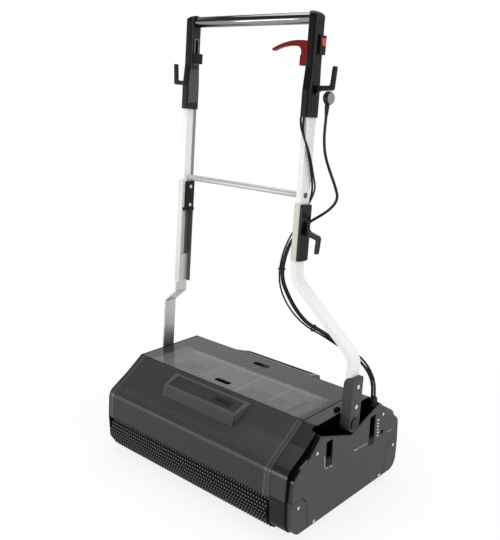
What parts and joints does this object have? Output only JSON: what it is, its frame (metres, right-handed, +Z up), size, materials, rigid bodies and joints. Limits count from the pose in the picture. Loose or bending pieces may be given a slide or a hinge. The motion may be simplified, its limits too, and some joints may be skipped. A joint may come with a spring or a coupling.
{
  "type": "carpet sweeper",
  "caption": "Walk-behind carpet and floor sweeper with two contra-rotating brushes, hinged covers, lift-off lid and a folding cranked handle.",
  "frame": {"origin": "on the floor, under the middle of the overall width and depth", "axes": "+X along the brushes towards the drive side, +Y to the rear, +Z up"},
  "size_m": [0.7577, 0.512, 1.2963],
  "materials": {
    "lid_plastic": "smoked glossy plastic",
    "cover_plastic": "dark grey, half gloss",
    "housing_plastic": "black, glossy",
    "side_paint": "dark grey, matte",
    "frame_steel": "black paint",
    "plated_steel": "zinc plated",
    "white_paint": "white, satin",
    "channel_steel": "satin",
    "bar_steel": "worn satin",
    "grip_chrome": "polished",
    "black_plastic": "black, fine texture",
    "bristle": "black nylon",
    "drum_plastic": "black",
    "gear_nylon": "natural nylon",
    "tank_plastic": "grey, translucent",
    "cord_rubber": "black",
    "red_plastic": "red",
    "plug_grey": "black and grey"
  },
  "bodies": {
    "chassis": {"left_side_plate": "frame_steel", "right_frame_plate": "frame_steel", "drive_housing": "housing_plastic", "side_cover": "side_paint", "front_corner_cover": "cover_plastic", "rear_corner_cover": "cover_plastic", "tie_rods": "frame_steel", "tank_rails": "frame_steel", "shaft_bearings": "plated_steel", "drive_motor": "plated_steel", "chassis_pins": "plated_steel", "cover_screws": "plated_steel", "pivot_stubs": "plated_steel", "cable_gland": "black_plastic", "solution_tank": "tank_plastic", "recovery_tank": "tank_plastic"},
    "lid": {"lid": "lid_plastic"},
    "front_cover": {"front_cover": "cover_plastic", "front_cover_grip": "cover_plastic"},
    "rear_cover": {"rear_cover": "cover_plastic", "rear_cover_grip": "cover_plastic"},
    "front_brush": {"front_brush_core": "drum_plastic", "front_brush_bristles": "bristle", "front_brush_gear": "gear_nylon"},
    "rear_brush": {"rear_brush_core": "drum_plastic", "rear_brush_bristles": "bristle", "rear_brush_gear": "gear_nylon"},
    "drum": {"pickup_drum": "drum_plastic", "drum_gear": "gear_nylon"},
    "idler_1": {"idler_gear_1": "gear_nylon"},
    "idler_2": {"idler_gear_2": "gear_nylon"},
    "idler_3": {"idler_gear_3": "gear_nylon"},
    "pinion": {"motor_pinion": "gear_nylon"},
    "front_adjuster": {"front_adjuster": "black_plastic"},
    "rear_adjuster": {"rear_adjuster": "black_plastic"},
    "reset_button": {"reset_button": "black_plastic"},
    "latch_button": {"latch_button": "black_plastic"},
    "handle": {"right_bracket": "side_paint", "right_lower_leg": "white_paint", "right_sleeve": "white_paint", "hook_cover": "black_plastic", "right_upper_tube": "white_paint", "left_bar": "bar_steel", "left_channel": "channel_steel", "left_clamp": "black_plastic", "left_upper_tube": "white_paint", "cross_bar": "channel_steel", "hand_grip": "grip_chrome", "handle_screws": "plated_steel", "right_grip_housing": "black_plastic", "left_grip_housing": "black_plastic", "mains_plug": "plug_grey", "cable_ties": "black_plastic", "mains_lead": "cord_rubber", "switch_cable": "cord_rubber", "lever_cable": "cord_rubber"},
    "rocker": {"rocker_switch": "red_plastic"},
    "lever": {"trigger_lever": "red_plastic"},
    "slider": {"dosing_slider": "black_plastic"}
  },
  "joints": [
    {"name": "front_brush_spin", "type": "hinge", "parent": "chassis", "child": "front_brush", "pos_m": [-0.021, -0.19, 0.06538], "axis": [1, 0, 0], "continuous": true},
    {"name": "rear_brush_spin", "type": "hinge", "parent": "chassis", "child": "rear_brush", "pos_m": [-0.021, 0.19, 0.06538], "axis": [1, 0, 0], "continuous": true},
    {"name": "drum_spin", "type": "hinge", "parent": "chassis", "child": "drum", "pos_m": [-0.021, 0, 0.088], "axis": [1, 0, 0], "continuous": true},
    {"name": "idler_1_spin", "type": "hinge", "parent": "chassis", "child": "idler_1", "pos_m": [-0.021, -0.10393, 0.0917], "axis": [1, 0, 0], "continuous": true},
    {"name": "idler_2_spin", "type": "hinge", "parent": "chassis", "child": "idler_2", "pos_m": [-0.021, 0.07599, 0.08933], "axis": [1, 0, 0], "continuous": true},
    {"name": "idler_3_spin", "type": "hinge", "parent": "chassis", "child": "idler_3", "pos_m": [-0.021, 0.13195, 0.08714], "axis": [1, 0, 0], "continuous": true},
    {"name": "pinion_spin", "type": "hinge", "parent": "chassis", "child": "pinion", "pos_m": [-0.021, -0.1313, 0.16687], "axis": [1, 0, 0], "continuous": true},
    {"name": "lid_lift", "type": "slide", "parent": "chassis", "child": "lid", "axis": [0, 0, 1], "range_m": [0, 0.06]},
    {"name": "front_cover_hinge", "type": "hinge", "parent": "chassis", "child": "front_cover", "pos_m": [-0.021, -0.2455, 0.122], "axis": [1, 0, 0], "range_deg": [0, 75]},
    {"name": "rear_cover_hinge", "type": "hinge", "parent": "chassis", "child": "rear_cover", "pos_m": [-0.021, 0.2455, 0.122], "axis": [-1, 0, 0], "range_deg": [0, 75]},
    {"name": "front_adjuster_slide", "type": "slide", "parent": "chassis", "child": "front_adjuster", "axis": [0, 0, 1], "range_m": [0, 0.045]},
    {"name": "rear_adjuster_slide", "type": "slide", "parent": "chassis", "child": "rear_adjuster", "axis": [0, 0, 1], "range_m": [0, 0.06]},
    {"name": "reset_press", "type": "slide", "parent": "chassis", "child": "reset_button", "axis": [-1, 0, 0], "range_m": [0, 0.0025], "stiffness_N_per_m": 400, "springref_m": -0.001},
    {"name": "latch_press", "type": "slide", "parent": "chassis", "child": "latch_button", "axis": [0, 0, -1], "range_m": [0, 0.005], "stiffness_N_per_m": 400, "springref_m": -0.002},
    {"name": "handle_swing", "type": "hinge", "parent": "chassis", "child": "handle", "pos_m": [-0.021, 0, 0.25], "axis": [1, 0, 0], "range_deg": [-56.5, 63.5], "deforming": ["mains_lead", "switch_cable", "lever_cable"]},
    {"name": "rocker_tilt", "type": "hinge", "parent": "handle", "child": "rocker", "pos_m": [0.1635, 0.0663, 1.21926], "axis": [0, 0.9981, -0.061], "range_deg": [0, 8]},
    {"name": "lever_squeeze", "type": "hinge", "parent": "handle", "child": "lever", "pos_m": [0.141, 0.05818, 1.20122], "axis": [0, 0.9981, -0.061], "range_deg": [0, 18], "stiffness_Nm_per_rad": 1.5, "springref_deg": -5.73},
    {"name": "slider_travel", "type": "slide", "parent": "handle", "child": "slider", "axis": [0, 0.061, 0.9981], "range_m": [0, 0.036]}
  ],
  "couplings": [
    {"joint": "idler_1_spin", "follows": "front_brush_spin", "ratio": -0.60714},
    {"joint": "drum_spin", "follows": "front_brush_spin", "ratio": 0.70833},
    {"joint": "idler_2_spin", "follows": "front_brush_spin", "ratio": -1.2143},
    {"joint": "idler_3_spin", "follows": "front_brush_spin", "ratio": 1.2143},
    {"joint": "rear_brush_spin", "follows": "front_brush_spin", "ratio": -1},
    {"joint": "pinion_spin", "follows": "front_brush_spin", "ratio": 1.4167}
  ]
}
